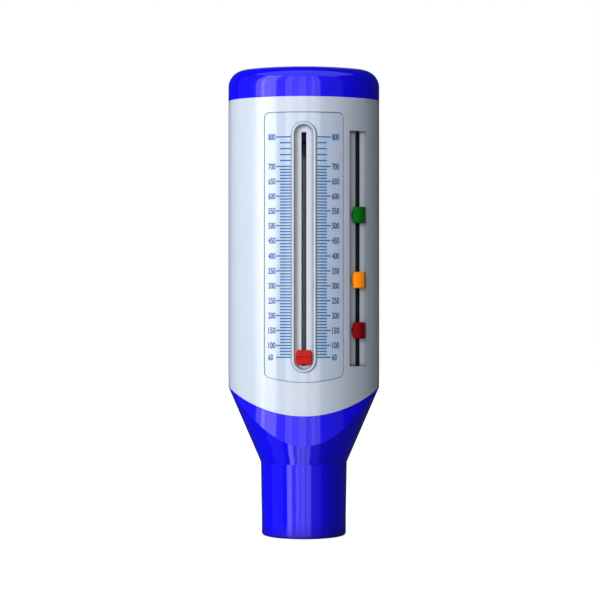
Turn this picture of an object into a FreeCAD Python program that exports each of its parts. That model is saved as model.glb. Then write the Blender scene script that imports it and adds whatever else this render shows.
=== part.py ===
import FreeCAD, Part
import math
import os

# Peak flow meter: an upright oval meter that is blown into from below.
# Millimetres. +Z runs up the length, the scale faces -Y, +X is to the reader's right,
# and the origin is the centre of the mouthpiece's open end, on which the meter can stand.

Vector = FreeCAD.Vector
os.makedirs("parts", exist_ok=True)

# Oval body
half_width = 25.0
half_depth = 17.0
side_radius = 13.0
wall = 1.8
tube_length = 24.2
cone_height = 24.7
seam_above_cone = 0.3
seam_sag = 9.05
mark_above_seam = 9.95
scale_span = 71.19
cap_height = 10.3
cap_corner_radius = 5.6

# Lap joints, where the cap and the mouthpiece plug into the housing
lap_length = 4.5
spigot_wall = 1.3
joint_clearance = 0.1
lap_end_gap = 0.3

# Mouthpiece tube
tube_end_radius = 13.95
tube_root_radius = 14.28
tube_land_length = 6.0
tube_wall = 1.65
tube_end_rounding = 0.9
tube_end_flats = 3
partition_thickness = 1.5
partition_below_cone_top = 5.9
socket_depth = 4.0
socket_wall = 1.2

# Scale panel and the slot that the pointer shows in
panel_half_width = 12.93
panel_corner_radius = 1.9
panel_bottom_sag = 2.0
panel_margin_top = 4.05
panel_margin_bottom = 4.17
panel_recess = 0.7
plate_thickness = 0.45
plate_clearance = 0.1
slot_half_width = 3.14
slot_depth = 1.3
slot_floor_thickness = 2.1
slot_margin_top = 2.45
slot_margin_bottom = 1.33
rim_width = 0.79
rim_proud = 0.25
rim_bevel = 0.18
slit_half_width = 0.8
body_above_panel = 5.0
slot_backing_half_width = 5.2
rib_thickness = 1.3
rib_gap = 0.2
rib_turns = (0, 90, 180)

# Side pocket with the three zone markers
pocket_from_panel = 1.9
pocket_floor_thickness = 2.1
pocket_floor_tilt = 20.0
pocket_width = 5.45
pocket_margin_top = 0.7
pocket_margin_bottom = 0.3
pocket_side_wall = 1.3
marker_slit_from_pocket = 2.63
marker_slit_half_width = 0.7
rail_half_width = 1.75
rail_wall = 0.45
rail_depth = 1.95
rail_gap = 0.1
rail_floor = 0.7
rail_rib_half_width = 0.25
rail_rib_height = 0.25

# Measuring tube, piston and what guides them
barrel_front_gap = 0.6
barrel_wall = 1.2
barrel_slot_half_width = 2.4
barrel_slot_above_seam = 1.8
piston_clearance = 0.2
piston_rim_height = 3.2
piston_rim_wall = 1.0
piston_web = 1.0
piston_web_below_top = 1.0
piston_rib_count = 6
piston_rib_width = 0.8
piston_rib_height = 1.5
hub_radius = 3.0
hub_height = 6.1
hub_above_rim = 1.1
bush_radius = 1.8
bush_flange_radius = 2.5
bush_flange_thickness = 0.4
pusher_half_width = 1.6
pusher_height = 2.6
pusher_end_gap = 0.3
pusher_gap = 0.16
rod_radius = 1.0
rod_chamfer = 0.25
running_clearance = 0.04
press_clearance = 0.02
spider_hub_radius = 2.6
spider_hub_height = 3.5
spider_ring_height = 2.6
spider_ring_width = 1.0
spider_step = 0.7
spider_arm_count = 3
spider_arm_width = 1.5
retainer_radius = 2.2
retainer_thickness = 0.5
rod_below_retainer = 0.6
spring_wire = 0.5
spring_coil_radius = 2.2

# Inside of the cap
stop_tube_wall = 1.2
stop_tube_gap = 0.1
stop_tube_above_piston = 0.9
collar_height = 3.2
boss_radius = 3.2
boss_socket_depth = 9.5
bumper_thickness = 1.9
bumper_radius = 3.4
barrel_end_gap = 0.2
vent_width = 1.8
vent_count = 8
vent_inner_radius = 4.6
vent_outer_radius = 9.4
side_vent_length = 7.1
side_vent_pitch = 2.9
side_vent_count = 2
side_vent_from_side = 6.2

# Pointer
pointer_height = 4.77
pointer_half_width = 2.74
pointer_end_half_width = 2.25
pointer_corner_radius = 0.5
pointer_proud = 0.5
pointer_crown = 0.35
pointer_bevel = 0.25
pointer_groove_width = 0.42
pointer_groove_depth = 0.3
slide_gap = 0.2
stem_half_width = 0.6
stem_below = 2.45
stem_above = 1.3
stop_gap = 0.26
peg_half_height = 1.1
shoe_half_width = 1.9
shoe_half_height = 1.8
shoe_thickness = 0.8
shoe_gap = 0.3
peg_head = 0.25
peg_clearance = 0.04
leaf_thickness = 0.12
leaf_bow = 0.1
leaf_half_width = 1.6
leaf_half_height = 1.6

# Zone markers
marker_height = 5.3
marker_tip_from_pocket = 0.54
marker_point_length = 0.78
marker_width = 4.46
marker_edge_proud = 1.65
marker_crown = 0.65
marker_corner_radius = 0.45
marker_bevel = 0.3
marker_gap = 0.1
marker_neck_half_width = 0.5
marker_neck_half_height = 1.6
marker_split = 0.3
clip_half_width = 1.15
clip_half_height = 2.2
clip_thickness = 0.55
clip_gap = 0.3

# Readings, in litres a minute, that the pointer and the markers stand at
lowest_reading = 60.0
highest_reading = 800.0
marker_readings = {"green": 540.0, "amber": 320.0, "red": 150.0}

# Heights, from the mouthpiece's end upwards
cone_top = tube_length + cone_height
seam_end = cone_top + seam_above_cone
seam_low = seam_end - seam_sag
lowest_mark = seam_end + mark_above_seam
spigot_top = seam_end + lap_length
highest_mark = lowest_mark + scale_span
slit_bottom = lowest_mark - stem_below - stop_gap
slit_top = highest_mark + stem_above + stop_gap
slot_bottom = slit_bottom - slot_margin_bottom
slot_top = slit_top + slot_margin_top
panel_bottom = slot_bottom - panel_margin_bottom
panel_top = slot_top + panel_margin_top
cap_joint = panel_top + body_above_panel
total_height = cap_joint + cap_height
pocket_bottom = slit_bottom - pocket_margin_bottom
pocket_top = slit_top + pocket_margin_top
partition_low = cone_top - partition_below_cone_top
barrel_seat = partition_low + partition_thickness
cap_ceiling = total_height - wall
barrel_top = cap_ceiling - collar_height - barrel_end_gap
pusher_top = lowest_mark - shoe_half_height - pusher_gap
piston_rim_top = pusher_top
hub_top = piston_rim_top + hub_above_rim
spider_seat = tube_length + wall

# Depths and radii that several pieces share
slot_floor = half_depth - slot_depth
slot_back = slot_floor - slot_floor_thickness
pointer_front = half_depth + pointer_proud
barrel_radius = slot_back - barrel_front_gap
barrel_bore = barrel_radius - barrel_wall
tube_bore = tube_end_radius - tube_wall
cone_slope = (half_width - tube_root_radius) / cone_height
front_zone = half_depth / 3
reach = 3.0 * half_width
over = 1.0


def oval_arcs(inset):
    """Centre of the right side's arc, radius of the front's arc, and where the two arcs meet."""
    side = side_radius - inset
    depth = half_depth - inset
    centre = half_width - side_radius
    front = (centre**2 + depth**2 - side**2) / (2 * (depth - side))
    share = front / (front - side)
    return centre, front, (centre * share, (front - depth) * (share - 1))


def oval(inset, low, high):
    """An upright prism of the body's oval, drawn in by inset: side arcs and flatter front and back arcs."""
    _centre, _front, (x, y) = oval_arcs(inset)
    width = half_width - inset
    depth = half_depth - inset
    turns = [
        ((x, -y), (width, 0), (x, y)),
        ((x, y), (0, depth), (-x, y)),
        ((-x, y), (-width, 0), (-x, -y)),
        ((-x, -y), (0, -depth), (x, -y)),
    ]
    edges = [Part.Arc(*[Vector(px, py, low) for px, py in turn]).toShape() for turn in turns]
    return Part.Face(Part.Wire(edges)).extrude(Vector(0, 0, high - low))


def oval_depth(inset, x):
    """How far in front of the axis the oval's wall stands at x."""
    centre, front, (meet, _y) = oval_arcs(inset)
    if x < meet:
        return math.sqrt(front**2 - x**2) - (front - (half_depth - inset))
    return math.sqrt((side_radius - inset) ** 2 - (x - centre) ** 2)


# The pocket starts beside the panel, and its sloping floor stands in front of the markers' track
pocket_left = panel_half_width + pocket_from_panel
pocket_right = pocket_left + pocket_width
marker_slit_centre = pocket_left + marker_slit_from_pocket
marker_tip = pocket_left + marker_tip_from_pocket
marker_shoulder = marker_tip + marker_point_length
marker_right = marker_tip + marker_width
pocket_back = oval_depth(wall, marker_slit_centre + rail_half_width + rail_gap)
pocket_floor = pocket_back + pocket_floor_thickness


def disc(radius, low, high):
    """An upright cylinder on the axis."""
    return Part.makeCylinder(radius, high - low, Vector(0, 0, low))


def ring(outer, inner, low, high):
    """An upright tube."""
    return disc(outer, low, high).cut(disc(inner, low - over, high + over))


def block(x_range, y_range, z_range):
    """A box between two limits on each axis."""
    size = [high - low for low, high in (x_range, y_range, z_range)]
    return Part.makeBox(*size, Vector(x_range[0], y_range[0], z_range[0]))


def revolved(edges):
    """A solid of revolution about Z from edges in the XZ plane."""
    return Part.Face(Part.Wire(edges)).revolve(Vector(0, 0, 0), Vector(0, 0, 1), 360)


def polyline(points, closed=True):
    """Straight edges through (x, z) points in the XZ plane."""
    corners = [Vector(x, 0, z) for x, z in points]
    if closed:
        corners.append(corners[0])
    return [Part.LineSegment(a, b).toShape() for a, b in zip(corners, corners[1:])]


def arc(start, middle, end):
    """An arc through three (x, z) points in the XZ plane."""
    points = [Vector(x, 0, z) for x, z in (start, middle, end)]
    return Part.Arc(*points).toShape()


def forward(edges, near, far):
    """An outline in the XZ plane as a solid between two depths in front of the axis."""
    face = Part.Face(Part.Wire(Part.__sortEdges__(edges)))
    face.translate(Vector(0, -far, 0))
    return face.extrude(Vector(0, far - near, 0))


def stadium(half, bottom, top):
    """A slot outline with full round ends."""
    low = bottom + half
    high = top - half
    return [
        Part.LineSegment(Vector(-half, 0, low), Vector(-half, 0, high)).toShape(),
        arc((-half, high), (0, top), (half, high)),
        Part.LineSegment(Vector(half, 0, high), Vector(half, 0, low)).toShape(),
        arc((half, low), (0, bottom), (-half, low)),
    ]


def panel_outline(inset):
    """The scale panel: rounded corners above and below, and a bottom edge that sags."""
    x = panel_half_width - inset
    radius = panel_corner_radius - inset
    top = panel_top - inset
    bottom = panel_bottom + inset
    side_bottom = bottom + panel_bottom_sag + radius
    diagonal = radius * (1 - math.sqrt(0.5))
    corner_in = x - radius
    foot = bottom + panel_bottom_sag * (corner_in / panel_half_width) ** 2
    left_top = [(-x, top - radius), (-x + diagonal, top - diagonal), (-corner_in, top)]
    right_top = [(-px, pz) for px, pz in reversed(left_top)]
    middle = (foot + side_bottom) / 2 - diagonal
    left_foot = [(-corner_in, foot), (-x + diagonal, middle), (-x, side_bottom)]
    right_foot = [(-px, pz) for px, pz in reversed(left_foot)]
    return [
        arc(*left_top),
        *polyline([left_top[-1], right_top[0]], closed=False),
        arc(*right_top),
        *polyline([right_top[-1], right_foot[0]], closed=False),
        arc(*right_foot),
        arc(right_foot[-1], (0, bottom), left_foot[0]),
        arc(*left_foot),
        *polyline([left_foot[-1], left_top[0]], closed=False),
    ]


def cone_radius(height):
    """Outer radius of the funnel at a height."""
    return tube_root_radius + cone_slope * (height - tube_length)


def below_seam():
    """The space under the smile-shaped seam between the housing and the mouthpiece."""
    radius = (half_width**2 + seam_sag**2) / (2 * seam_sag)
    drum = Part.makeCylinder(radius, 2 * reach, Vector(0, -reach, seam_low + radius), Vector(0, 1, 0))
    return block((-reach, reach), (-reach, reach), (-reach, seam_end)).cut(drum)


def front_edges(solid, depth):
    """Edges of a solid that lie further in front of the axis than depth."""
    return [edge for edge in solid.Edges if edge.BoundBox.YMax < -depth]


def rim():
    """The raised rim round the pointer's slot: it follows the body's oval, and its edges are bevelled."""
    outline = stadium(slot_half_width + rim_width, slot_bottom - rim_width, slot_top + rim_width)
    band = forward(outline, slot_floor, half_depth + over)
    band = band.cut(forward(stadium(slot_half_width, slot_bottom, slot_top), 0, reach))
    band = band.common(oval(-rim_proud, slot_bottom - rim_width - over, slot_top + rim_width + over))
    return band.makeChamfer(rim_bevel, front_edges(band, (slot_floor + half_depth) / 2))


def behind_pocket(gap):
    """What lies behind the pocket's floor, which slopes back with the body's curve, and a gap before it."""
    ground = block(
        (-reach, reach),
        (-pocket_floor - gap, reach),
        (pocket_bottom - over, pocket_top + over),
    )
    ground.rotate(Vector(marker_slit_centre, -pocket_floor, 0), Vector(0, 0, 1), pocket_floor_tilt)
    return ground


def make_housing():
    """White oval tube, open at both ends, with the scale recess, the slot and the pocket."""
    shell = oval(0, seam_low - over, cap_joint).cut(below_seam())
    shell = shell.cut(oval(wall, seam_low - 2 * over, cap_joint + over))
    recess = forward(panel_outline(0), front_zone, half_depth + over)
    recess = recess.cut(oval(panel_recess, panel_bottom - over, panel_top + over))
    shell = shell.cut(recess)
    backing_low = spigot_top + lap_end_gap
    backing_high = cap_joint - lap_length - lap_end_gap
    inside = oval(wall / 2, backing_low, backing_high)
    slot_backing = block(
        (-slot_backing_half_width, slot_backing_half_width),
        (-half_depth, -slot_back),
        (backing_low, backing_high),
    )
    pocket_backing = block(
        (pocket_left - pocket_side_wall, half_width),
        (-half_depth, -pocket_back),
        (backing_low, backing_high),
    )
    ribs = []
    for turn in rib_turns:
        rib = block(
            (barrel_radius + rib_gap, half_width),
            (-rib_thickness / 2, rib_thickness / 2),
            (lowest_mark, highest_mark),
        )
        rib.rotate(Vector(0, 0, 0), Vector(0, 0, 1), turn)
        ribs.append(rib)
    for extra in (slot_backing, pocket_backing, *ribs):
        shell = shell.fuse(extra.common(inside))
    shell = shell.cut(recess).fuse(rim())
    shell = shell.cut(forward(stadium(slot_half_width, slot_bottom, slot_top), slot_floor, reach))
    slit = block((-slit_half_width, slit_half_width), (-reach, -slot_back + over), (slit_bottom, slit_top))
    pocket = block((pocket_left, pocket_right), (-reach, 0), (pocket_bottom, pocket_top))
    pocket = pocket.cut(behind_pocket(0))
    marker_slit = block(
        (marker_slit_centre - marker_slit_half_width, marker_slit_centre + marker_slit_half_width),
        (-reach, -pocket_back + over),
        (pocket_bottom, pocket_top),
    )
    for opening in (slit, pocket, marker_slit):
        shell = shell.cut(opening)
    return shell.removeSplitter()


def make_scale_plate():
    """Curved glossy scale, laid in the recess round the rim."""
    sheet = forward(panel_outline(plate_clearance), front_zone, half_depth + over)
    sheet = sheet.common(oval(panel_recess - plate_thickness, panel_bottom, panel_top))
    sheet = sheet.cut(oval(panel_recess, panel_bottom - over, panel_top + over))
    hole = rim_width + plate_clearance
    outline = stadium(slot_half_width + hole, slot_bottom - hole, slot_top + hole)
    return sheet.cut(forward(outline, 0, reach))


def make_end_cap():
    """Blue cap: its spigot plugs the housing, its tube stops the piston, its boss holds the rod."""
    outside = oval(0, cap_joint, total_height)
    rim_edges = [e for e in outside.Edges if abs(e.BoundBox.ZMin - total_height) < 0.01]
    outside = outside.makeFillet(cap_corner_radius, rim_edges)
    spigot = oval(wall + joint_clearance, cap_joint - lap_length, cap_joint + over)
    cavity = oval(wall + joint_clearance + spigot_wall, cap_joint - lap_length - over, cap_ceiling)
    cap = outside.fuse(spigot).cut(cavity)
    stop_bottom = piston_rim_top + scale_span + stop_tube_above_piston
    stop_radius = barrel_bore - stop_tube_gap
    inner = stop_radius - stop_tube_wall
    boss_bottom = hub_top + scale_span + stop_gap + bumper_thickness
    rod_socket = disc(rod_radius + press_clearance, boss_bottom - over, boss_bottom + boss_socket_depth)
    cap = cap.fuse(ring(stop_radius, inner, stop_bottom, cap_ceiling + wall / 2))
    cap = cap.fuse(ring(barrel_radius, inner, cap_ceiling - collar_height, cap_ceiling + wall / 2))
    cap = cap.fuse(disc(boss_radius, boss_bottom, cap_ceiling + wall / 2)).cut(rod_socket)
    for number in range(vent_count):
        vent = block(
            (vent_inner_radius, vent_outer_radius),
            (-vent_width / 2, vent_width / 2),
            (cap_ceiling - over, total_height + over),
        )
        vent.rotate(Vector(0, 0, 0), Vector(0, 0, 1), number * 360 / vent_count)
        cap = cap.cut(vent)
    for side in (-1, 1):
        for number in range(side_vent_count):
            x = side * (half_width - side_vent_from_side - number * side_vent_pitch)
            half = side_vent_length / 2 + number * side_vent_pitch / 2
            cap = cap.cut(
                block(
                    (x - vent_width / 2, x + vent_width / 2),
                    (-half, half),
                    (cap_ceiling - wall - over, total_height + over),
                )
            )
    return cap.removeSplitter()


def funnel_outside():
    """Tube, a short straight land at its open end, and the cone up to the body's full width."""
    turn = tube_end_rounding
    centre = tube_end_radius - turn
    angles = [math.pi / 2 * step / tube_end_flats for step in range(tube_end_flats + 1)]
    rounding = [(centre + turn * math.sin(angle), turn - turn * math.cos(angle)) for angle in angles]
    return revolved(
        polyline(
            [
                (0, 0),
                *rounding,
                (tube_end_radius, tube_land_length),
                (tube_root_radius, tube_length),
                (cone_radius(spigot_top), spigot_top),
                (0, spigot_top),
            ]
        )
    )


def make_mouthpiece():
    """Blue funnel with its tube, a spigot into the housing and a socket for the measuring tube."""
    funnel = funnel_outside()
    outside = funnel.common(oval(0, -over, seam_end)).common(below_seam())
    spigot = funnel.common(oval(wall + joint_clearance, tube_length, spigot_top))
    body = outside.fuse(spigot)
    skin = wall * math.sqrt(1 + cone_slope**2)
    seat_top = spider_seat + spider_ring_height
    seat_radius = tube_bore + spider_step
    funnel_hollow = revolved(
        polyline(
            [
                (0, seat_top),
                (cone_radius(seat_top) - skin, seat_top),
                (cone_radius(partition_low) - skin, partition_low),
                (0, partition_low),
            ]
        )
    )
    upper = revolved(
        polyline(
            [
                (0, barrel_seat),
                (cone_radius(barrel_seat) - skin, barrel_seat),
                (cone_radius(spigot_top + over) - skin, spigot_top + over),
                (0, spigot_top + over),
            ]
        )
    )
    hollow = oval(wall + joint_clearance + spigot_wall, -2 * over, spigot_top + 2 * over)
    socket_radius = barrel_radius + joint_clearance
    socket = ring(socket_radius + socket_wall, socket_radius, barrel_seat, barrel_seat + socket_depth)
    body = body.cut(funnel_hollow.common(hollow)).cut(upper.common(hollow).cut(socket))
    for radius, low, high in (
        (tube_bore, -over, spider_seat + over),
        (seat_radius, spider_seat, seat_top + over),
        (barrel_bore, partition_low - over, barrel_seat + over),
        (socket_radius, barrel_seat, spigot_top + over),
    ):
        body = body.cut(disc(radius, low, high))
    return body.removeSplitter()


def make_measuring_tube():
    """Round barrel with a front slot that the pusher reaches through and the air leaves by."""
    barrel = ring(barrel_radius, barrel_bore, barrel_seat, barrel_top)
    slot = block(
        (-barrel_slot_half_width, barrel_slot_half_width),
        (-reach, 0),
        (seam_end + barrel_slot_above_seam, barrel_top + over),
    )
    return barrel.cut(slot)


def make_piston():
    """Thin cup piston: hub, web, skirt, ribs and the pusher that lifts the pointer."""
    radius = barrel_bore - piston_clearance
    skirt_bottom = piston_rim_top - piston_rim_height
    web_top = piston_rim_top - piston_web_below_top
    web_bottom = web_top - piston_web
    piston = ring(radius, radius - piston_rim_wall, skirt_bottom, piston_rim_top)
    piston = piston.fuse(disc(radius - piston_rim_wall / 2, web_bottom, web_top))
    piston = piston.fuse(disc(hub_radius, hub_top - hub_height, hub_top))
    for number in range(piston_rib_count):
        rib = block(
            (hub_radius - piston_rim_wall, radius - piston_rim_wall / 2),
            (-piston_rib_width / 2, piston_rib_width / 2),
            (web_bottom - piston_rib_height, web_bottom),
        )
        rib.rotate(Vector(0, 0, 0), Vector(0, 0, 1), 30 + number * 360 / piston_rib_count)
        piston = piston.fuse(rib)
    pusher = block(
        (-pusher_half_width, pusher_half_width),
        (-(slot_back - pusher_end_gap), -(radius - piston_rim_wall)),
        (pusher_top - pusher_height, pusher_top),
    )
    piston = piston.fuse(pusher).cut(disc(bush_radius, hub_top - hub_height - over, hub_top + over))
    return piston.removeSplitter()


def make_piston_bush():
    """Slippery bush in the piston's hub, with a flange under it that the spring hooks behind."""
    low = hub_top - hub_height
    bush = disc(bush_radius - press_clearance, low - bush_flange_thickness, hub_top)
    bush = bush.fuse(disc(bush_flange_radius, low - bush_flange_thickness, low))
    return bush.cut(disc(rod_radius + running_clearance, low - over, hub_top + over)).removeSplitter()


def rod_ends():
    """Lowest and highest points of the guide rod."""
    low = spider_seat - retainer_thickness - rod_below_retainer
    high = hub_top + scale_span + stop_gap + bumper_thickness + boss_socket_depth
    return low, high


def make_guide_rod():
    """Steel rod on the axis, with its ends broken."""
    low, high = rod_ends()
    rod = disc(rod_radius, low, high)
    return rod.makeChamfer(rod_chamfer, [e for e in rod.Edges if len(e.Vertexes) == 1])


def make_rod_spider():
    """Three-armed carrier that drops on the step in the tube and holds the rod's lower end."""
    outer = tube_bore + spider_step - joint_clearance
    inner = outer - spider_ring_width
    spider = ring(outer, inner, spider_seat, spider_seat + spider_ring_height)
    hub = disc(spider_hub_radius, spider_seat, spider_seat + spider_hub_height)
    spider = spider.fuse(hub)
    for number in range(spider_arm_count):
        arm = block(
            (0, inner + spider_ring_width / 2),
            (-spider_arm_width / 2, spider_arm_width / 2),
            (spider_seat, spider_seat + spider_ring_height),
        )
        arm.rotate(Vector(0, 0, 0), Vector(0, 0, 1), 90 + number * 360 / spider_arm_count)
        spider = spider.fuse(arm)
    hole = disc(rod_radius + press_clearance, spider_seat - over, spider_seat + spider_hub_height + over)
    return spider.cut(hole).removeSplitter()


def make_rod_retainer():
    """Push-on washer under the spider's hub."""
    return ring(retainer_radius, rod_radius + press_clearance, spider_seat - retainer_thickness, spider_seat)


def make_return_spring():
    """Space of the close-wound tension spring between the spider and the piston's bush."""
    low = spider_seat + spider_hub_height
    high = hub_top - hub_height - bush_flange_thickness
    return ring(spring_coil_radius, spring_coil_radius - spring_wire, low, high)


def make_end_bumper():
    """Soft ring on the rod, under the cap's boss."""
    low = hub_top + scale_span + stop_gap
    return ring(bumper_radius, rod_radius + running_clearance, low, low + bumper_thickness)


def make_marker_track():
    """Black channel behind the pocket's slit, in which the markers' clips run."""
    front = pocket_back - rail_gap
    back = front - rail_depth
    low = pocket_bottom - pocket_side_wall
    high = pocket_top + pocket_side_wall
    centre = marker_slit_centre
    inner = rail_half_width - rail_wall
    channel = block((centre - rail_half_width, centre + rail_half_width), (-front, -back), (low, high))
    hollow = block(
        (centre - inner, centre + inner),
        (-front - over, -back - rail_floor),
        (pocket_bottom, pocket_top),
    )
    rib = block(
        (centre - rail_rib_half_width, centre + rail_rib_half_width),
        (-back - rail_floor - rail_rib_height, -back),
        (low, high),
    )
    return channel.cut(hollow).fuse(rib).removeSplitter()


def make_pointer():
    """Red pointer: a crowned barrel-shaped button, a stem through the slit and a headed peg."""
    mid = lowest_mark
    half = pointer_height / 2
    back = slot_floor + slide_gap
    end = pointer_end_half_width
    wide = pointer_half_width
    outline = [
        *polyline([(-end, mid - half), (end, mid - half)], closed=False),
        arc((end, mid - half), (wide, mid), (end, mid + half)),
        *polyline([(end, mid + half), (-end, mid + half)], closed=False),
        arc((-end, mid + half), (-wide, mid), (-end, mid - half)),
    ]
    button = forward(outline, back, pointer_front)
    corners = [e for e in button.Edges if e.BoundBox.YLength > 1 and e.BoundBox.ZLength < 0.01]
    button = button.makeFillet(pointer_corner_radius, corners)
    crown_radius = (half**2 + pointer_crown**2) / (2 * pointer_crown)
    crown_axis = Vector(-reach / 2, -(pointer_front - crown_radius), mid)
    button = button.common(Part.makeCylinder(crown_radius, reach, crown_axis, Vector(1, 0, 0)))
    button = button.makeChamfer(pointer_bevel, front_edges(button, (back + pointer_front) / 2))
    groove = block(
        (-wide, wide),
        (-reach, -(pointer_front - pointer_groove_depth)),
        (mid - pointer_groove_width / 2, mid + pointer_groove_width / 2),
    )
    stem = block(
        (-stem_half_width, stem_half_width), (-back, -slot_back), (mid - stem_below, mid + stem_above)
    )
    peg_end = slot_back - shoe_gap - shoe_thickness - peg_head
    peg = block(
        (-stem_half_width, stem_half_width),
        (-back, -peg_end),
        (mid - peg_half_height, mid + peg_half_height),
    )
    return button.cut(groove).fuse(stem).fuse(peg).removeSplitter()


def make_pointer_shoe():
    """Black shoe snapped on the pointer's peg behind the slit; the pusher lifts it."""
    front = slot_back - shoe_gap
    shoe = block(
        (-shoe_half_width, shoe_half_width),
        (-front, -front + shoe_thickness),
        (lowest_mark - shoe_half_height, lowest_mark + shoe_half_height),
    )
    hole = block(
        (-stem_half_width - peg_clearance, stem_half_width + peg_clearance),
        (-front - over, -front + shoe_thickness + over),
        (
            lowest_mark - peg_half_height - peg_clearance,
            lowest_mark + peg_half_height + peg_clearance,
        ),
    )
    return shoe.cut(hole)


def make_pointer_spring():
    """Bowed steel leaf between the shoe and the wall, which keeps the pointer where it is left."""
    front = slot_back - shoe_gap
    half = leaf_half_height
    bow = leaf_bow
    mid = lowest_mark
    back_face = Part.Arc(
        Vector(0, -front, mid - half), Vector(0, -front - bow, mid), Vector(0, -front, mid + half)
    ).toShape()
    front_face = Part.Arc(
        Vector(0, -front - leaf_thickness, mid - half),
        Vector(0, -front - bow - leaf_thickness, mid),
        Vector(0, -front - leaf_thickness, mid + half),
    ).toShape()
    ends = [
        Part.LineSegment(
            Vector(0, -front, mid + side * half), Vector(0, -front - leaf_thickness, mid + side * half)
        ).toShape()
        for side in (-1, 1)
    ]
    outline = Part.Wire(Part.__sortEdges__([back_face, front_face, *ends]))
    leaf = Part.Face(outline)
    leaf.translate(Vector(-leaf_half_width, 0, 0))
    leaf = leaf.extrude(Vector(2 * leaf_half_width, 0, 0))
    hole = block(
        (-stem_half_width - peg_clearance, stem_half_width + peg_clearance),
        (-reach, 0),
        (
            mid - peg_half_height - peg_clearance,
            mid + peg_half_height + peg_clearance,
        ),
    )
    return leaf.cut(hole)


def reading_height(reading):
    """Height of a reading on the scale."""
    share = (reading - lowest_reading) / (highest_reading - lowest_reading)
    return lowest_mark + share * scale_span


def make_marker(reading):
    """Zone marker: a crowned pentagon that points at the scale, with bevelled edges, on a split neck."""
    mid = reading_height(reading)
    half = marker_height / 2
    back = pocket_floor + marker_gap
    edge = back + marker_edge_proud
    outline = polyline(
        [
            (marker_tip, mid),
            (marker_shoulder, mid + half),
            (marker_right, mid + half),
            (marker_right, mid - half),
            (marker_shoulder, mid - half),
        ]
    )
    head = forward(outline, pocket_back, edge + marker_crown + over)
    corners = [e for e in head.Edges if e.BoundBox.YLength > marker_crown and e.BoundBox.ZLength < 0.01]
    head = head.makeFillet(marker_corner_radius, corners)
    half_span = (marker_right - marker_tip) / 2
    crown_radius = (half_span**2 + marker_crown**2) / (2 * marker_crown)
    crown_centre = Vector(
        (marker_right + marker_tip) / 2, -(edge + marker_crown - crown_radius), mid - marker_height
    )
    head = head.common(Part.makeCylinder(crown_radius, 2 * marker_height, crown_centre))
    head = head.makeChamfer(marker_bevel, front_edges(head, (back + edge) / 2))
    head = head.cut(behind_pocket(marker_gap))
    neck_end = pocket_back - clip_gap - clip_thickness - peg_head / 2
    neck = block(
        (marker_slit_centre - marker_neck_half_width, marker_slit_centre + marker_neck_half_width),
        (-edge, -neck_end),
        (mid - marker_neck_half_height, mid + marker_neck_half_height),
    )
    split = block(
        (marker_slit_centre - reach, marker_slit_centre + reach),
        (-(pocket_floor - slide_gap), -neck_end + over),
        (mid - marker_split / 2, mid + marker_split / 2),
    )
    return head.fuse(neck.cut(split)).removeSplitter()


def make_marker_clip(reading):
    """Clip snapped on a marker's neck behind the slit."""
    mid = reading_height(reading)
    front = pocket_back - clip_gap
    clip = block(
        (marker_slit_centre - clip_half_width, marker_slit_centre + clip_half_width),
        (-front, -front + clip_thickness),
        (mid - clip_half_height, mid + clip_half_height),
    )
    hole_half = marker_neck_half_width + peg_clearance
    hole = block(
        (marker_slit_centre - hole_half, marker_slit_centre + hole_half),
        (-front - over, -front + clip_thickness + over),
        (
            mid - marker_neck_half_height - peg_clearance,
            mid + marker_neck_half_height + peg_clearance,
        ),
    )
    return clip.cut(hole)


pieces = {
    "housing": make_housing(),
    "scale_plate": make_scale_plate(),
    "end_cap": make_end_cap(),
    "mouthpiece": make_mouthpiece(),
    "measuring_tube": make_measuring_tube(),
    "piston": make_piston(),
    "piston_bush": make_piston_bush(),
    "guide_rod": make_guide_rod(),
    "rod_spider": make_rod_spider(),
    "rod_retainer": make_rod_retainer(),
    "return_spring": make_return_spring(),
    "end_bumper": make_end_bumper(),
    "marker_track": make_marker_track(),
    "pointer": make_pointer(),
    "pointer_shoe": make_pointer_shoe(),
    "pointer_spring": make_pointer_spring(),
}
for colour, reading in marker_readings.items():
    pieces[f"{colour}_marker"] = make_marker(reading)
    pieces[f"{colour}_marker_clip"] = make_marker_clip(reading)

for name, shape in pieces.items():
    shape.exportStep(f"parts/{name}.step")
    print(name, len(shape.Solids), round(shape.Volume, 2), shape.isValid())
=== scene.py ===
import math

import bpy
import numpy as np
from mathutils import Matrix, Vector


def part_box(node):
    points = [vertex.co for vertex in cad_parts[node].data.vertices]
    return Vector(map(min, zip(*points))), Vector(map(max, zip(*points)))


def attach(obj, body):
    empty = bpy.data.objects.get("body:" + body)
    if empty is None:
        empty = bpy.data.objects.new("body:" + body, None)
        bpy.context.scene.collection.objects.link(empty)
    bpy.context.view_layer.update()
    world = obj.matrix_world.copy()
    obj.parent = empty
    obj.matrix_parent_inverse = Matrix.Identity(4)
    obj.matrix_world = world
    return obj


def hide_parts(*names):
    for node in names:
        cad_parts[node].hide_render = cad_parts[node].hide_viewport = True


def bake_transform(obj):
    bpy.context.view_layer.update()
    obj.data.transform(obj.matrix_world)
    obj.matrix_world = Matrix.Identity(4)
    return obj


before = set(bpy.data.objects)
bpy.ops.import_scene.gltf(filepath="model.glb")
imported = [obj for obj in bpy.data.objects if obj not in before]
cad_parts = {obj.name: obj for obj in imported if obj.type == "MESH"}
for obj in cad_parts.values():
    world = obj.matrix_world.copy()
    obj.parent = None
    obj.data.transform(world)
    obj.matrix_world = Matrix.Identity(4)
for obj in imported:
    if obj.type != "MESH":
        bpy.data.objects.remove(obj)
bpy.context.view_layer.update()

MM = 0.001

# The view: a long lens 600 mm in front of the meter's axis, level with the lower half of the
# scale. The meter stands a little right of the picture's middle, and the horizon a little below.
picture_width = 600
axis_at_pixel = 303.85
horizon_at_pixel = 308.1
millimetres_per_pixel = 0.3317
eye_height = 75.05 * MM
eye_distance = 600 * MM

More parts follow.
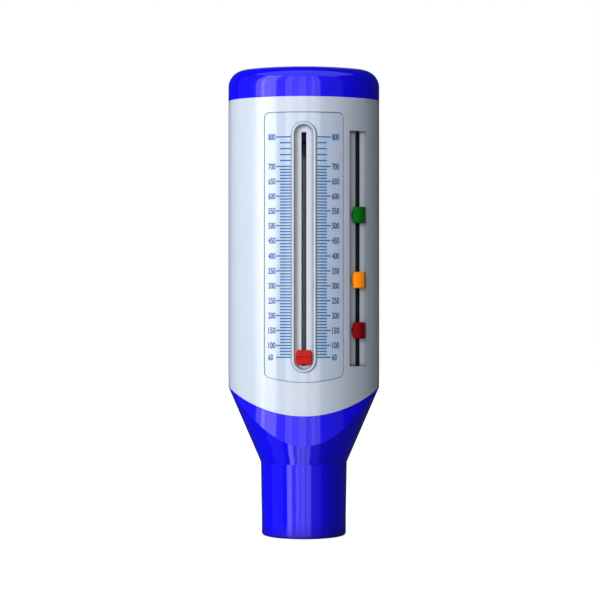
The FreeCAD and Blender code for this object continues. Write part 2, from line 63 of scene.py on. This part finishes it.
sensor_width = 36.0
nearest_seen = 0.01

lens = bpy.data.cameras.new("lens")
lens.sensor_width = sensor_width
lens.lens = sensor_width * eye_distance / (picture_width * millimetres_per_pixel * MM)
lens.shift_y = (horizon_at_pixel - picture_width / 2) / picture_width
lens.clip_start = nearest_seen
camera = bpy.data.objects.new("camera", lens)
camera.location = (
    -(axis_at_pixel - picture_width / 2) * millimetres_per_pixel * MM,
    -eye_distance,
    eye_height,
)
camera.rotation_euler = (math.radians(90), 0, 0)
bpy.context.scene.collection.objects.link(camera)
bpy.context.scene.camera = camera
bpy.context.scene.view_settings.view_transform = "Standard"

# Light: a wide soft key from the left, and tall soft boxes side by side round the camera, whose
# gaps draw the upright streaks on the glossy mouldings. A small front lamp reaches into the slot,
# and two lamps and a dim box stand behind the meter.
key_angle = -50.0
key_lift = 0.25
key_distance = 1.2
key_size = 0.5
key_brightness = 0.92
front_angle = 0.0
front_lift = 0.33
front_distance = 0.7
front_size = 0.08
front_brightness = 0.1
back_angles = [-150.0, 163.0]
back_lift = 0.9
back_distance = 0.9
back_size = 0.5
back_brightness = 0.4

# Each box is its edges in degrees, its brightness and how far it reaches below the eye. All end at
# one height, where the overhead panel begins.
soft_boxes = [
    (-95.0, -58.0, 0.06, 1.6),
    (-57.5, -51.5, 0.7, 0.105),
    (-51.0, -46.0, 1.7, 0.105),
    (-45.5, -32.0, 1.02, 1.6),
    (-31.5, -23.0, 0.25, 1.6),
    (-22.0, -12.5, 0.66, 1.6),
    (-12.0, -7.5, 0.5, 1.6),
    (-7.0, 3.5, 0.64, 1.6),
    (4.5, 8.0, 0.45, 1.6),
    (8.5, 13.5, 0.66, 1.6),
    (14.0, 19.0, 0.5, 1.6),
    (19.5, 46.0, 0.06, 1.6),
    (167.0, 193.0, 0.16, 1.6),
]
soft_box_distance = 0.8
soft_box_top = 0.95


def soft_light(name, angle, distance, lift, tilt, width, height, brightness):
    """A rectangle of light, angle degrees round from the camera, lift above it, tilted down by
    tilt degrees."""
    turn = math.radians(angle)
    light = bpy.data.lights.new(name, "AREA")
    light.shape = "RECTANGLE"
    light.size = width
    light.size_y = height
    light.energy = brightness * math.pi * width * height
    box = bpy.data.objects.new(name, light)
    box.location = (distance * math.sin(turn), -distance * math.cos(turn), eye_height + lift)
    box.rotation_euler = (math.radians(90 - tilt), 0, turn)
    box.visible_camera = False
    bpy.context.scene.collection.objects.link(box)
    return box


def soft_lamp(name, angle, distance, lift, size, brightness):
    """A square lamp that faces the meter and lights it without a mirror image of its own;
    brightness is what it gives a white sheet that faces it."""
    tilt = math.degrees(math.atan2(lift, distance))
    surface_brightness = brightness * math.pi * (distance**2 + lift**2) / size**2
    lamp = soft_light(name, angle, distance, lift, tilt, size, size, surface_brightness)
    lamp.visible_glossy = False


for number, (left, right, brightness, reach) in enumerate(soft_boxes):
    width = 2 * soft_box_distance * math.tan(math.radians(right - left) / 2)
    middle = (left + right) / 2
    height = soft_box_top + reach
    lift = (soft_box_top - reach) / 2
    soft_light(f"soft_box_{number}", middle, soft_box_distance, lift, 0, width, height, brightness)
soft_lamp("key", key_angle, key_distance, key_lift, key_size, key_brightness)
soft_lamp("front", front_angle, front_distance, front_lift, front_size, front_brightness)
for angle in back_angles:
    soft_lamp("back", angle, back_distance, back_lift, back_size, back_brightness)

# A wide dim panel overhead, face down, draws the pale lens along the cap's rounded edge.
panel_distance = 0.48
panel_lift = 1.2
panel_width = 1.7
panel_reach = 1.0
panel_brightness = 0.36
soft_light(
    "overhead", 0.0, panel_distance, panel_lift, 90.0, panel_width, panel_reach, panel_brightness
)


# White shell: the oval housing, moulded in white ABS and polished, with the recess for the scale,
# the pointer's slot and the markers' pocket formed in it. Its edges are broken by a fine radius.
shader_samples = 6


class Wire:
    """A value on its way between nodes; arithmetic on it adds Math nodes."""

    def __init__(self, nodes, socket):
        self.nodes = nodes
        self.socket = socket

    def math(self, operation, *others):
        inputs = dict(enumerate((self, *others)))
        return self.nodes.node("ShaderNodeMath", {"operation": operation}, inputs)

    def __add__(self, other):
        return self.math("ADD", other)

    def __sub__(self, other):
        return self.math("SUBTRACT", other)

    def __rsub__(self, other):
        return self.nodes.node("ShaderNodeMath", {"operation": "SUBTRACT"}, {0: other, 1: self})

    def __mul__(self, other):
        return self.math("MULTIPLY", other)

    def __gt__(self, other):
        return self.math("GREATER_THAN", other)

    def __lt__(self, other):
        return self.math("LESS_THAN", other)

    __radd__ = __add__
    __rmul__ = __mul__


class Nodes:
    """A node tree, to which nodes are added by one method."""

    def __init__(self, tree):
        self.tree = tree

    def node(self, kind, settings, inputs, out=0):
        """Adds a node: its settings first, then the values and links of its sockets."""
        node = self.tree.nodes.new(kind)
        for setting, value in settings.items():
            setattr(node, setting, value)
        for socket, value in inputs.items():
            if isinstance(value, Wire):
                self.tree.links.new(value.socket, node.inputs[socket])
            else:
                node.inputs[socket].default_value = value
        return Wire(self, node.outputs[out])


class Finish(Nodes):
    """One moulding's or metal's finish, built around a Principled shader."""

    def __init__(self, name, **constants):
        self.material = bpy.data.materials.new(name)
        self.material.use_nodes = True
        super().__init__(self.material.node_tree)
        self.tree.nodes.clear()
        self.shader = self.tree.nodes.new("ShaderNodeBsdfPrincipled")
        output = self.tree.nodes.new("ShaderNodeOutputMaterial")
        self.tree.links.new(self.shader.outputs[0], output.inputs[0])
        for socket, value in constants.items():
            self.shader.inputs[socket.replace("_", " ")].default_value = value

    def millimetres(self, stretch=(1, 1, 1)):
        """Object coordinates in millimetres, squeezed along each axis by stretch."""
        place = self.node("ShaderNodeTexCoord", {}, {}, "Object")
        scale = tuple(1000 * s for s in stretch)
        return self.node("ShaderNodeVectorMath", {"operation": "MULTIPLY"}, {0: place, 1: scale})

    def noise(self, size, stretch=(1, 1, 1), detail=3.0):
        """Soft noise from 0 to 1 whose blotches are size millimetres across."""
        inputs = {"Vector": self.millimetres(stretch), "Scale": 1 / size, "Detail": detail}
        return self.node("ShaderNodeTexNoise", {}, inputs, 0)

    def mix(self, factor, first, second):
        """Colour that goes from first to second with factor."""
        sockets = {0: factor, 6: first, 7: second}
        return self.node("ShaderNodeMix", {"data_type": "RGBA"}, sockets, 2)

    def edge(self, radius):
        """The normal with edges rounded over radius millimetres, and how much it turns there."""
        soft = self.node("ShaderNodeBevel", {"samples": shader_samples}, {"Radius": radius * MM})
        true = self.node("ShaderNodeNewGeometry", {}, {}, "Normal")
        product = {"operation": "DOT_PRODUCT"}
        alike = self.node("ShaderNodeVectorMath", product, {0: soft, 1: true}, "Value")
        return soft, 1 - alike

    def nook(self, distance, alone=True):
        """How closed in a spot is, 0 to 1, within distance millimetres, by its own piece alone or
        by all."""
        settings = {"samples": shader_samples, "only_local": alone}
        reach = {"Distance": distance * MM}
        return 1 - self.node("ShaderNodeAmbientOcclusion", settings, reach, "AO")

    def bump(self, height, depth, normal=None):
        """Normal of a surface whose relief is height times depth millimetres."""
        inputs = {"Height": height, "Distance": depth * MM, "Strength": 1.0}
        if normal is not None:
            inputs["Normal"] = normal
        return self.node("ShaderNodeBump", {}, inputs, "Normal")

    def feed(self, **wires):
        """Links wires to the shader's own sockets."""
        for socket, wire in wires.items():
            self.tree.links.new(wire.socket, self.shader.inputs[socket.replace("_", " ")])

    def wear(self, *nodes):
        """Puts this finish on the named solids from model.glb."""
        for name in nodes:
            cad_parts[name].data.materials.clear()
            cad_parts[name].data.materials.append(self.material)


def srgb(red, green, blue):
    """Colour as a screen shows it, 0 to 255, as the linear values that a shader takes."""
    shares = [channel / 255 for channel in (red, green, blue)]
    linear = [s / 12.92 if s <= 0.04045 else ((s + 0.055) / 1.055) ** 2.4 for s in shares]
    return (*linear, 1.0)


wall_front_share = 0.5
wall_depth = -9.0
wall_shade = 0.85
nook_reach = 1.4
nook_shade = 1.5

shell = Finish("white_shell", IOR=1.9, Coat_Weight=1.0, Coat_IOR=2.4, Coat_Roughness=0.14)
rounded, edge = shell.edge(0.25)
cloud = shell.noise(38.0)
facing = shell.node("ShaderNodeNewGeometry", {}, {}, "Normal")
front_share = shell.node("ShaderNodeSeparateXYZ", {}, {"Vector": facing}, "Y").math("ABSOLUTE")
depth = shell.node("ShaderNodeSeparateXYZ", {}, {"Vector": shell.millimetres()}, "Y")
wall = (front_share < wall_front_share) * (depth < wall_depth)
# Painted shade: the base colour is darkened towards slate grey in creases and hollows, by the
# housing's own occlusion, and on the side walls of the slot and pocket near the front.
shade = shell.nook(nook_reach) * nook_shade + wall * wall_shade
grain = shell.noise(0.45, detail=2.0)
flow = shell.noise(9.0, stretch=(1, 1, 0.18))
body_white = shell.mix(cloud, srgb(206, 218, 236), srgb(212, 223, 240))
# Painted highlight: the rounded edges, inner and outer, are painted a paler white.
edge_lit_white = shell.mix(edge * 0.6, body_white, srgb(236, 241, 247))
shell.feed(
    Base_Color=shell.mix(shade, edge_lit_white, srgb(60, 67, 84)),
    Roughness=0.3 + flow * 0.08 + edge * 0.2,
    Normal=shell.bump(grain + flow * 2.0, 0.004, rounded),
)
shell.wear("housing")

# Scale: a curved sheet of clear-lacquered white film laid in the recess round the slot's rim.
# A pale blue ground lies under the graduations, and the lacquer is a little wavy.
lowest_mark = 59.15
scale_span = 71.19
tick_inner = 4.2
tint_reach = 7.6
tint_share = 0.5
edge_shade_radius = 0.6
edge_shade_strength = 5

film = Finish("printed_scale", IOR=1.9, Coat_Weight=1.0, Coat_IOR=2.8, Coat_Roughness=0.02)
where = film.node("ShaderNodeSeparateXYZ", {}, {"Vector": film.millimetres()}, "X")
height = film.node("ShaderNodeSeparateXYZ", {}, {"Vector": film.millimetres()}, "Z")
from_middle = where.math("ABSOLUTE")
under_ticks = (from_middle > tick_inner) * (from_middle < tint_reach) * (height > lowest_mark)
under_ticks = under_ticks * (height < lowest_mark + scale_span)
paper = film.mix(film.noise(25.0), srgb(202, 219, 244), srgb(207, 223, 247))
tinted = film.mix(under_ticks * tint_share, paper, srgb(160, 206, 244))
# Painted shade: along all its edges, round the outline and the rim's hole, the film is darkened
# towards grey blue, for the shade in the gap under the recess's wall.
edge = film.edge(edge_shade_radius)[1]
film.feed(
    Base_Color=film.mix(edge * edge_shade_strength, tinted, srgb(104, 116, 140)),
    Roughness=0.12 + film.noise(3.0) * 0.08,
    Normal=film.bump(film.noise(7.0, stretch=(1, 1, 0.1)), 0.014),
)
film.wear("scale_plate")


# Graduations and numbers: blue ink screened on the film, a hair proud of the film's face.
# Each follows the film's curve, from 60 to 800 litres a minute on both sides of the slot.
oval_half_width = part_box("housing")[1].x / MM
oval_half_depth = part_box("housing")[1].y / MM
oval_side_radius = 13.0
film_below_body = 0.25
ink_thickness = 0.02
ink_root = 0.03
tick_thickness = 0.4
tick_reach = {-1: (7.8, 9.0), 1: (7.35, 8.6)}
first_reading = 60
last_reading = 800
reading_step = 10
wide_steps_from = 700
wide_step = 20
bar_points = 5
set_points = [60, 400, 450, 800]
set_shares = [0.0, 0.4596, 0.5298, 1.0]
numbered = [60, 100, *range(150, 701, 50), 800]


def film_front(x):
    """Depth in front of the axis of the film's face at x: the front arc of the oval, drawn in."""
    depth = oval_half_depth - film_below_body
    side = oval_side_radius - film_below_body
    centre = oval_half_width - oval_side_radius
    radius = (centre**2 + depth**2 - side**2) / (2 * (depth - side))
    return np.sqrt(radius**2 - x**2) - (radius - depth)


def reading_height(reading):
    """Height of a reading in millimetres: straight runs between the scale's four set points, with
    a slightly longer step from 400 to 450."""
    return lowest_mark + scale_span * np.interp(reading, set_points, set_shares)


def mesh_piece(name, points, faces, finish, body):
    """A piece from points in millimetres and faces as rows of indices, riding on a body."""
    mesh = bpy.data.meshes.new(name)
    mesh.from_pydata((np.asarray(points) * MM).tolist(), [], [list(face) for face in faces])
    mesh.validate()
    mesh.materials.append(finish.material)
    piece = bpy.data.objects.new(name, mesh)
    bpy.context.scene.collection.objects.link(piece)
    if body:
        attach(piece, body)
    return piece


ink = Finish("scale_ink", IOR=1.45, Coat_Weight=0.6, Coat_Roughness=0.08)
ink.feed(
    Base_Color=ink.mix(ink.noise(1.2), srgb(42, 86, 150), srgb(56, 102, 166)),
    Roughness=0.35 + ink.noise(0.5) * 0.15,
)


def tick_marks():
    """All ticks as closed bars: x runs in even steps from the rim outwards, z is the reading's
    height plus or minus half the line, and y is the film's face plus or minus the ink."""
    narrow = range(first_reading, wide_steps_from + 1, reading_step)
    wide = range(wide_steps_from + wide_step, last_reading + 1, wide_step)
    readings = np.array([*narrow, *wide])
    share = np.linspace(0, 1, bar_points)
    corner_z = np.array([-0.5, 0.5, 0.5, -0.5]) * tick_thickness
    corner_y = np.array([-ink_root, -ink_root, ink_thickness, ink_thickness])
    bars = []
    for side, (short, long) in tick_reach.items():
        reach = np.where(np.isin(readings, numbered), long, short)
        across = tick_inner + (reach[:, None] - tick_inner) * share
        x = side * across[:, :, None] + 0 * corner_z
        y = -(film_front(x) + corner_y)
        z = reading_height(readings)[:, None, None] + 0 * x + corner_z
        bars.append(np.stack([x, y, z], axis=-1))
    points = np.concatenate(bars).reshape(-1, 4, 3)
    count = len(tick_reach) * len(readings)
    ring = np.arange(bar_points - 1)[:, None] * 4
    turn = np.arange(4)
    onward = (turn + 1) % 4
    quads = np.stack([ring + turn, ring + onward, ring + 4 + onward, ring + 4 + turn], -1)
    last = 4 * bar_points - 4
    ends = np.array([[3, 2, 1, 0], [last, last + 1, last + 2, last + 3]])
    bar_faces = np.concatenate([quads.reshape(-1, 4), ends])
    faces = (np.arange(count)[:, None, None] * 4 * bar_points + bar_faces).reshape(-1, 4)
    return points.reshape(-1, 3), faces


marks = mesh_piece("scale_marks", *tick_marks(), ink, "case")

number_height = 2.13
number_width = 2.35
number_left = {"left": -11.55, "right": 9.05}
number_weight = 0.034
curve_steps = 4


def number_mesh(text):
    """A number as a flat extruded outline, 1 high, that starts at the origin."""
    curve = bpy.data.curves.new("number", "FONT")
    curve.body = text
    curve.resolution_u = curve_steps
    curve.extrude = 0.5
    curve.offset = number_weight
    letter = bpy.data.objects.new("number", curve)
    bpy.context.scene.collection.objects.link(letter)
    bpy.context.view_layer.update()
    evaluated = letter.evaluated_get(bpy.context.evaluated_depsgraph_get())
    mesh = bpy.data.meshes.new_from_object(evaluated)
    points = np.zeros(3 * len(mesh.vertices))
    mesh.vertices.foreach_get("co", points)
    faces = [tuple(face.vertices) for face in mesh.polygons]
    bpy.data.objects.remove(letter)
    bpy.data.meshes.remove(mesh)
    return points.reshape(-1, 3), faces


points, faces = [], []
first = 0
for reading in numbered:
    flat, outline = number_mesh(str(reading))
    low = flat.min(axis=0)
    size = flat.max(axis=0) - low
    width = number_width * len(str(reading)) / 3
    for start in number_left.values():
        x = start + (flat[:, 0] - low[0]) / size[0] * width
        z = reading_height(reading) + ((flat[:, 1] - low[1]) / size[1] - 0.5) * number_height
        y = -(film_front(x) + np.where(flat[:, 2] > 0, ink_thickness, -ink_root))
        points.append(np.stack([x, y, z], axis=-1))
        faces += [tuple(first + corner for corner in face) for face in outline]
        first += len(flat)
figures = mesh_piece("scale_numbers", np.concatenate(points), faces, ink, "case")

# Blue mouldings: the end cap and the mouthpiece funnel, injected in royal blue and high gloss.
# The gloss is sharp enough to mirror the soft boxes, with faint flow lines along the length.
blue = Finish(
    "blue_plastic",
    IOR=1.75,
    Specular_Tint=(1.0, 0.65, 1.0, 1.0),
    Coat_Weight=1.0,
    Coat_IOR=1.6,
    Coat_Roughness=0.04,
)
rounded, edge = blue.edge(0.2)
flow = blue.noise(6.0, stretch=(1, 1, 0.12))
# Painted shade: where other pieces close round it, the blue is darkened towards navy, and its coat
# and gloss fade there.
hollow_shade = blue.nook(6.0, alone=False)
body_blue = blue.mix(blue.noise(30.0), srgb(8, 3, 248), srgb(14, 6, 254))
# Painted highlight: the rounded edges are painted a paler, violet blue.
edge_lit_blue = blue.mix(edge * 0.5, body_blue, srgb(60, 50, 255))
blue.feed(
    Base_Color=blue.mix(hollow_shade, edge_lit_blue, srgb(8, 2, 96)),
    Roughness=0.07 + flow * 0.05 + edge * 0.15 + hollow_shade * 0.5,
    Coat_Weight=1 - hollow_shade * 1.6,
    Normal=blue.bump(flow, 0.003, rounded),
)
blue.wear("end_cap", "mouthpiece")

# Measuring tube: satin black barrel behind the slot, drawn along its length by the core pin.
black = Finish("black_barrel", IOR=1.5)
drawn = black.noise(0.5, stretch=(1, 1, 0.04))
black.feed(
    Base_Color=black.mix(drawn, srgb(16, 16, 19), srgb(34, 34, 38)),
    Roughness=0.38 + drawn * 0.2,
    Normal=black.bump(drawn, 0.01),
)
black.wear("measuring_tube")

# Piston and its bush: a thin dark cup moulded in acetal, and a natural white bush that runs on
# the rod.
cup = Finish("piston_plastic", IOR=1.5)
speckle = cup.noise(0.4)
cup.feed(
    Base_Color=cup.mix(cup.noise(8.0), srgb(40, 41, 45), srgb(58, 59, 64)),
    Roughness=0.42 + speckle * 0.15,
    Normal=cup.bump(speckle, 0.008),
)
cup.wear("piston")

bush = Finish("bush_plastic", IOR=1.45, Subsurface_Weight=0.1)
bush.feed(
    Base_Color=bush.mix(bush.noise(2.0), srgb(226, 224, 214), srgb(238, 236, 228)),
    Roughness=0.4 + bush.noise(0.3) * 0.15,
)
bush.wear("piston_bush")

# Guide rod, spider, washer and bumper: a drawn stainless rod held in a grey three-armed carrier
# by a push-on steel washer, with a soft black ring at its top that stops the piston.
drawn_steel = Finish("rod_steel", Metallic=0.1, IOR=1.6)
lines = drawn_steel.noise(0.12, stretch=(1, 1, 0.02), detail=5.0)
drawn_steel.feed(
    Base_Color=drawn_steel.mix(lines, srgb(214, 216, 220), srgb(240, 242, 246)),
    Roughness=0.46 + lines * 0.1,
    Normal=drawn_steel.bump(lines, 0.004),
)
drawn_steel.wear("guide_rod")

carrier = Finish("grey_plastic", IOR=1.5)
texture = carrier.noise(0.35)
carrier.feed(
    Base_Color=carrier.mix(carrier.noise(7.0), srgb(118, 121, 126), srgb(138, 141, 147)),
    Roughness=0.4 + texture * 0.2,
    Normal=carrier.bump(texture, 0.008, carrier.edge(0.15)[0]),
)
carrier.wear("rod_spider")

strip = Finish("spring_steel", Metallic=1.0)
rolled = strip.noise(0.2, stretch=(0.1, 1, 1), detail=4.0)
strip.feed(
    Base_Color=strip.mix(rolled, srgb(150, 153, 158), srgb(196, 199, 204)),
    Roughness=0.25 + rolled * 0.2,
)
strip.wear("rod_retainer", "pointer_spring")

rubber = Finish("soft_rubber", IOR=1.5)
pitted = rubber.noise(0.25, detail=4.0)
rubber.feed(
    Base_Color=rubber.mix(pitted, srgb(20, 20, 21), srgb(38, 38, 40)),
    Roughness=0.7 + pitted * 0.2,
    Normal=rubber.bump(pitted, 0.02),
)
rubber.wear("end_bumper")

# Return spring: a light tension spring of fine wire, close to the rod, hooked to the spider below
# and to the piston's bush above. In the meter it stretches as the piston climbs; here its coils
# are built once, as they stand.
spring_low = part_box("return_spring")[0].z / MM
spring_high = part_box("return_spring")[1].z / MM
spring_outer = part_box("return_spring")[1].x / MM
wire_radius = 0.24
wire_sides = 10
wire_end_share = 0.55
spring_pitch = 0.86
points_a_turn = 24


def spring_coils():
    """Helix: a round wire section carried along a circle of the coil's mean radius, rising evenly
    but for the closed end turns; the wire narrows at both ends and is capped there."""
    mean = spring_outer - wire_radius
    low = spring_low + wire_radius
    rise = spring_high - spring_low - 2 * wire_radius
    turns = rise / spring_pitch
    along = np.linspace(0, 1, int(turns * points_a_turn))
    angle = along * turns * 2 * math.pi
    closed = np.clip((along * turns - 1) / (turns - 2), 0, 1)
    height = low + rise * closed
    round_wire = np.linspace(0, 2 * math.pi, wire_sides, endpoint=False)
    ends = np.ones_like(along)
    ends[[0, -1]] = wire_end_share
    out = mean + wire_radius * ends[:, None] * np.cos(round_wire)
    x = out * np.cos(angle)[:, None]
    y = out * np.sin(angle)[:, None]
    z = height[:, None] + wire_radius * ends[:, None] * np.sin(round_wire)
    points = np.stack([x, y, z], axis=-1).reshape(-1, 3)
    ring = np.arange(len(along) - 1)[:, None] * wire_sides
    turn = np.arange(wire_sides)
    onward = (turn + 1) % wire_sides
    next_ring = ring + wire_sides
    quads = np.stack([ring + turn, next_ring + turn, next_ring + onward, ring + onward], -1)
    last = (len(along) - 1) * wire_sides
    caps = [tuple(range(wire_sides)), tuple(range(last + wire_sides - 1, last - 1, -1))]
    return points, [*map(tuple, quads.reshape(-1, 4)), *caps]


coils = mesh_piece("return_coils", *spring_coils(), strip, None)
coils.data.polygons.foreach_set("use_smooth", np.ones(len(coils.data.polygons), bool))
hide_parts("return_spring")
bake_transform(coils)

# Pointer: glossy red button with a reading groove, on a stem through the slit; the black shoe
# snaps on behind, with a bowed steel leaf under it.
red = Finish("pointer_red", IOR=1.35)
rounded, edge = red.edge(0.7)
body_red = red.mix(red.noise(3.0), srgb(194, 20, 20), srgb(206, 26, 25))
# Painted highlight: the button's rounded edges are painted a paler red.
red.feed(
    Base_Color=red.mix(edge * 0.4, body_red, srgb(216, 60, 54)),
    Roughness=0.2 + red.noise(0.4) * 0.1,
    Normal=red.bump(red.noise(0.5), 0.004, rounded),
)
red.wear("pointer")

# Zone markers: three small glossy keys in green, amber and dark red, each on a split neck that
# snaps through the pocket's slit into a black clip in the track behind.
marker_colours = {
    "green": (srgb(0, 82, 6), srgb(0, 96, 14)),
    "amber": (srgb(242, 128, 4), srgb(248, 140, 12)),
    "red": (srgb(110, 0, 6), srgb(124, 2, 12)),
}
for colour, (deep, light) in marker_colours.items():
    key = Finish(f"{colour}_plastic", IOR=1.22)
    key.feed(
        Base_Color=key.mix(key.noise(2.5), deep, light),
        Roughness=0.26 + key.noise(0.4) * 0.08,
        Normal=key.bump(key.noise(0.5), 0.001, key.edge(0.3)[0]),
    )
    key.wear(f"{colour}_marker")

track = Finish("black_plastic", IOR=1.5)
matt = track.noise(0.3)
track.feed(
    Base_Color=track.mix(matt, srgb(9, 9, 10), srgb(22, 22, 24)),
    Roughness=0.45 + matt * 0.2,
    Normal=track.bump(matt, 0.006),
)
clips = [f"{colour}_marker_clip" for colour in marker_colours]
track.wear("marker_track", "pointer_shoe", *clips)

# Ground and backdrop: a plain white table that keeps the meter's shadow, white all round behind
# it. Mirrored in the mouldings, the room is dimmer than it looks to the camera.
ground_size = 3.0
ground_near = 0.86
ground_near_reach = 100.0
ground_far_reach = 700.0
room_mirrored = 0.02
room_light = 0.03

table = Finish("ground", Roughness=0.9, IOR=1.3, Emission_Strength=1.0)
speck = table.noise(40.0)
seen = table.node("ShaderNodeLightPath", {}, {}, "Is Camera Ray")
length = {"operation": "LENGTH"}
away = table.node("ShaderNodeVectorMath", length, {0: table.millimetres()}, "Value")
limits = {
    "From Min": ground_near_reach,
    "From Max": ground_far_reach,
    "To Min": ground_near,
    "To Max": 1.0,
}
smooth = {"interpolation_type": "SMOOTHSTEP"}
glow = table.node("ShaderNodeMapRange", smooth, {"Value": away, **limits})
table.feed(
    Base_Color=table.mix(speck, srgb(160, 160, 160), srgb(166, 166, 166)),
    Emission_Color=table.mix(seen * glow, (0, 0, 0, 1), (1, 1, 1, 1)),
)
half = ground_size / MM / 2
corners = [(-half, -half, 0), (half, -half, 0), (half, half, 0), (-half, half, 0)]
ground = mesh_piece("ground", corners, [(0, 1, 2, 3)], table, None)
ground.visible_glossy = False

room = bpy.data.worlds.new("room")
room.use_nodes = True
bpy.context.scene.world = room
walls = Nodes(room.node_tree)
glossy = walls.node("ShaderNodeLightPath", {}, {}, "Is Glossy Ray")
through = walls.node("ShaderNodeLightPath", {}, {}, "Is Transmission Ray")
dim = glossy.math("MAXIMUM", through) * (room_mirrored - room_light) + room_light
bright = walls.node("ShaderNodeLightPath", {}, {}, "Is Camera Ray").math("MAXIMUM", dim)
background = room.node_tree.nodes["Background"]
background.inputs["Color"].default_value = (1, 1, 1, 1)
room.node_tree.links.new(bright.socket, background.inputs["Strength"])
